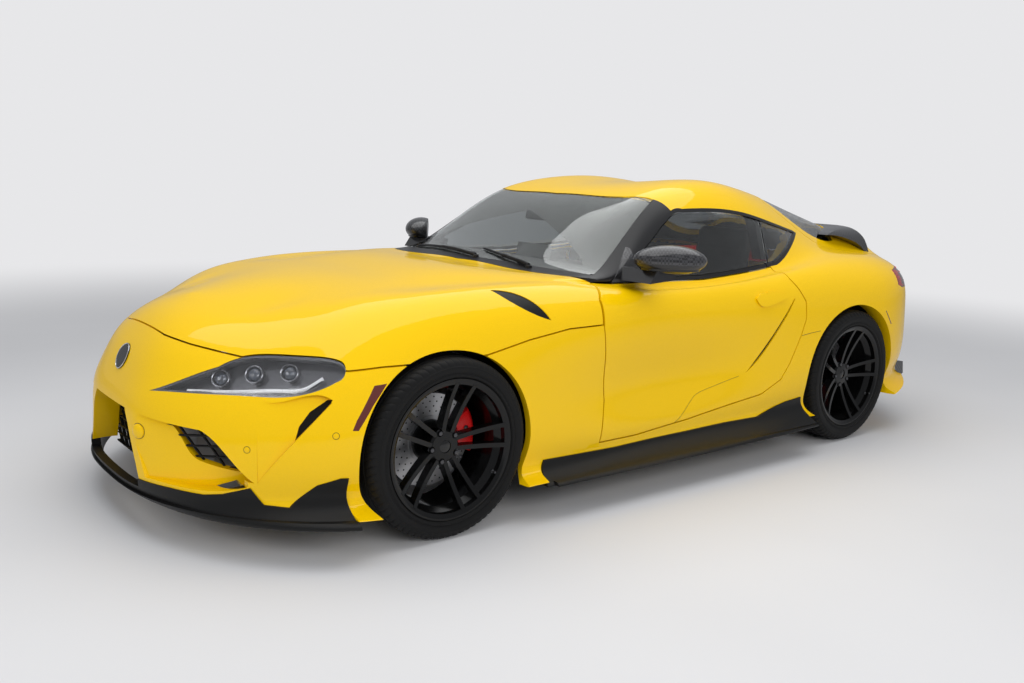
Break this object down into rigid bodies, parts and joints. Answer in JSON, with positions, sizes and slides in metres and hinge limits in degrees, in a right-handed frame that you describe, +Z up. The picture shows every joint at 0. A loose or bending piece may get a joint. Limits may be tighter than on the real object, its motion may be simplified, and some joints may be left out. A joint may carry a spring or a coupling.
{
  "type": "two-seat sports coupe car",
  "caption": "Low two-door coupe with long clamshell bonnet, double-bubble roof, opening doors, bonnet and tailgate, steered front wheels and a ducktail spoiler",
  "frame": {"origin": "on the ground, under the middle of the car's length and width", "axes": "nose towards -X, left side at -Y, up is +Z"},
  "size_m": [4.3883, 2.0748, 1.2946],
  "materials": {
    "paint": "gloss",
    "clear_glass": "polished",
    "dark_glass": "polished",
    "lamp_lens": "polished",
    "tail_lens": "polished",
    "black_plastic": "grained",
    "gloss_black": "gloss",
    "carbon": "gloss",
    "tyre": "matt",
    "rim": "gloss black",
    "disc": "machined",
    "caliper": "gloss",
    "chassis": "satin",
    "cast": "rough",
    "engine": "cast",
    "leather": "satin",
    "dash": "grained",
    "chrome": "polished"
  },
  "bodies": {
    "body": {"badge_disc": "chrome", "dashboard": "dash", "engine": "engine", "exhaust": "chrome", "front_bumper": "paint", "front_splitter": "black_plastic", "front_suspension": "cast", "front_wings": "paint", "grilles": "black_plastic", "headlamp_units": "gloss_black", "headlamps": "lamp_lens", "quarter_windows": "dark_glass", "rear_bumper": "paint", "rear_calipers": "caliper", "rear_diffuser": "carbon", "rear_suspension": "cast", "roof": "paint", "seats": "leather", "side_frame_left": "paint", "side_frame_right": "paint", "side_markers": "tail_lens", "side_skirts": "black_plastic", "tail_lamps": "tail_lens", "underbody": "chassis", "wheel_liners": "black_plastic", "window_trim": "gloss_black", "windscreen": "clear_glass", "windscreen_frame": "gloss_black", "wipers": "black_plastic"},
    "bonnet": {"bonnet": "paint", "bonnet_vents": "black_plastic"},
    "wheel_front_left": {"brake_disc_front_left": "disc", "rim_front_left": "rim", "tyre_front_left": "tyre"},
    "wheel_front_right": {"brake_disc_front_right": "disc", "rim_front_right": "rim", "tyre_front_right": "tyre"},
    "wheel_rear_left": {"brake_disc_rear_left": "disc", "rim_rear_left": "rim", "tyre_rear_left": "tyre"},
    "wheel_rear_right": {"brake_disc_rear_right": "disc", "rim_rear_right": "rim", "tyre_rear_right": "tyre"},
    "knuckle_left": {"caliper_front_left": "caliper", "knuckle_left": "cast"},
    "knuckle_right": {"caliper_front_right": "caliper", "knuckle_right": "cast"},
    "door_left": {"door_left": "paint", "door_trim_left": "gloss_black", "door_window_left": "dark_glass", "mirror_left": "carbon"},
    "door_right": {"door_right": "paint", "door_trim_right": "gloss_black", "door_window_right": "dark_glass", "mirror_right": "carbon"},
    "tailgate": {"rear_spoiler": "carbon", "tailgate": "paint", "tailgate_window": "dark_glass"},
    "steering_wheel": {"steering_wheel": "leather"}
  },
  "joints": [
    {"name": "door_left_hinge", "type": "hinge", "parent": "body", "child": "door_left", "pos_m": [-0.5395, -0.905, 0.55], "axis": [0, 0, -1], "range_deg": [0, 65]},
    {"name": "door_right_hinge", "type": "hinge", "parent": "body", "child": "door_right", "pos_m": [-0.5395, 0.905, 0.55], "axis": [0, 0, 1], "range_deg": [0, 65]},
    {"name": "bonnet_hinge", "type": "hinge", "parent": "body", "child": "bonnet", "pos_m": [-0.4795, 0, 0.885], "axis": [0, 1, 0], "range_deg": [0, 50]},
    {"name": "tailgate_hinge", "type": "hinge", "parent": "body", "child": "tailgate", "pos_m": [0.9525, 0, 1.25], "axis": [0, -1, 0], "range_deg": [0, 60]},
    {"name": "steer_left", "type": "hinge", "parent": "body", "child": "knuckle_left", "pos_m": [-1.2795, -0.71, 0.33], "axis": [0, 0, 1], "range_deg": [-33, 33]},
    {"name": "steer_right", "type": "hinge", "parent": "body", "child": "knuckle_right", "pos_m": [-1.2795, 0.71, 0.33], "axis": [0, 0, 1], "range_deg": [-33, 33]},
    {"name": "steering_wheel_turn", "type": "hinge", "parent": "body", "child": "steering_wheel", "pos_m": [0.0505, -0.37, 0.79], "axis": [0.9135, 0, 0.4067], "range_deg": [-382, 382]},
    {"name": "wheel_front_left_spin", "type": "hinge", "parent": "knuckle_left", "child": "wheel_front_left", "pos_m": [-1.2795, -0.788, 0.33], "axis": [0, 1, 0], "continuous": true},
    {"name": "wheel_front_right_spin", "type": "hinge", "parent": "knuckle_right", "child": "wheel_front_right", "pos_m": [-1.2795, 0.788, 0.33], "axis": [0, 1, 0], "continuous": true},
    {"name": "wheel_rear_left_spin", "type": "hinge", "parent": "body", "child": "wheel_rear_left", "pos_m": [1.1905, -0.785, 0.337], "axis": [0, 1, 0], "continuous": true},
    {"name": "wheel_rear_right_spin", "type": "hinge", "parent": "body", "child": "wheel_rear_right", "pos_m": [1.1905, 0.785, 0.337], "axis": [0, 1, 0], "continuous": true}
  ],
  "couplings": [
    {"joint": "steer_right", "follows": "steer_left", "ratio": 1},
    {"joint": "steering_wheel_turn", "follows": "steer_left", "ratio": 11.5}
  ]
}
